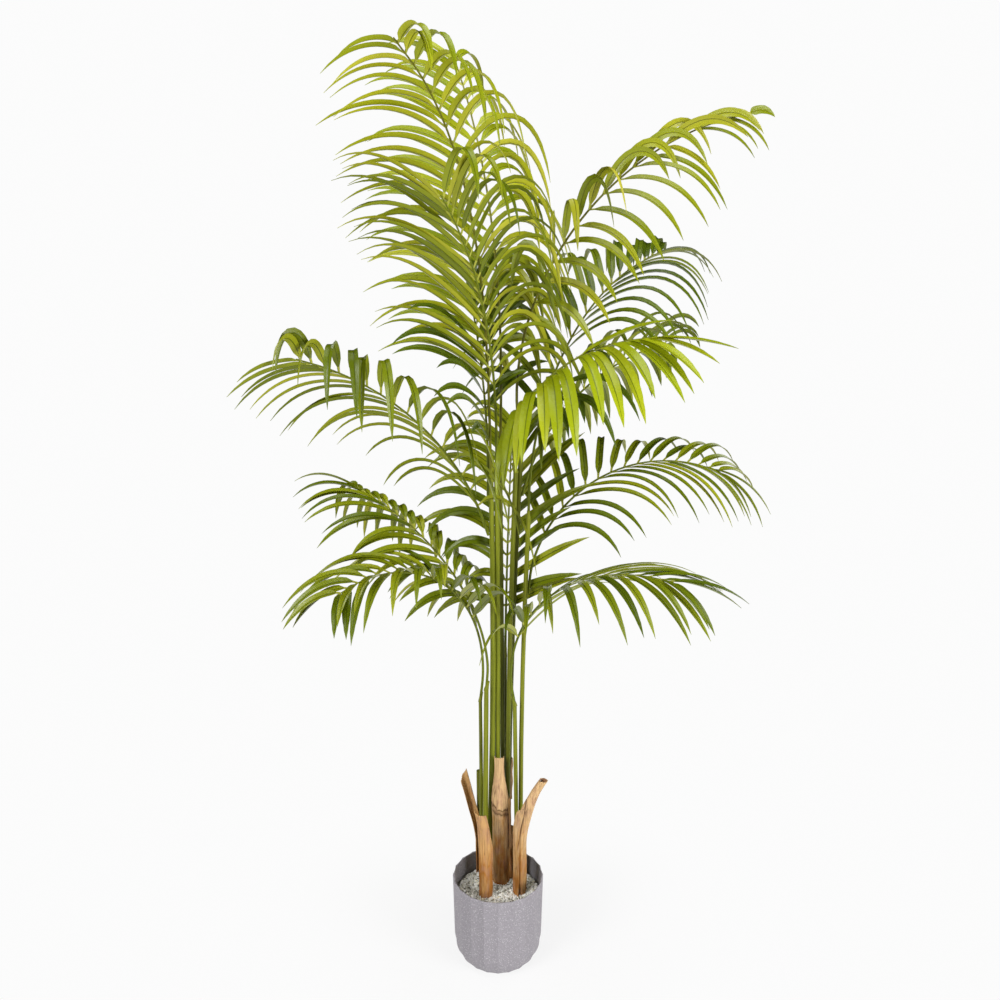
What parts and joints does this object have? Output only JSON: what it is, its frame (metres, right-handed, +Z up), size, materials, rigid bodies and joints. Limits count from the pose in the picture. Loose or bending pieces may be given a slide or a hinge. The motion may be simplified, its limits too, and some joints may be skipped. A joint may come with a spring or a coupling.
{
  "type": "artificial areca palm",
  "caption": "Tall slender artificial palm with feathery arching fronds on thin green stems, dried sheaths at the base, in a grey fluted round pot filled with pale gravel.",
  "frame": {"origin": "centre of the pot's flat underside, at floor level", "axes": "+Z up along the stems, -Y towards the front of the picture, +X to the right of the picture"},
  "size_m": [0.9271, 0.672, 1.7738],
  "materials": {
    "pot": "matte",
    "gravel": "matte",
    "bark": "matte",
    "stem": "satin",
    "leaf_bright": "satin",
    "leaf_green": "satin"
  },
  "bodies": {
    "root": {"pot": "pot", "filling": "gravel", "sheath_centre": "bark", "sheath_centre_layer": "bark", "sheath_centre_right": "bark", "sheath_right": "bark", "sheath_left_front": "bark", "sheath_left_back": "bark", "sheath_back_right": "bark", "stem_centre_left": "stem", "stem_centre": "stem", "stem_centre_back": "stem", "stem_back": "stem", "stem_right_front": "stem", "stem_right_back": "stem", "stem_low_right": "stem", "stem_far_right": "stem", "stem_left": "stem", "stem_low_left": "stem", "stem_stub": "stem", "frond_crown_left": "leaf_bright", "frond_crown_back": "leaf_bright", "frond_high_right": "leaf_bright", "frond_front_right": "leaf_bright", "frond_crown_front": "leaf_green", "frond_back_right": "leaf_green", "frond_lower_right": "leaf_green", "frond_lowest_right": "leaf_green", "frond_upper_left": "leaf_green", "frond_middle_left": "leaf_green", "frond_lowest_left": "leaf_green", "frond_behind_left": "leaf_green", "frond_inner_right": "leaf_green", "frond_centre_back": "leaf_green"}
  },
  "joints": []
}
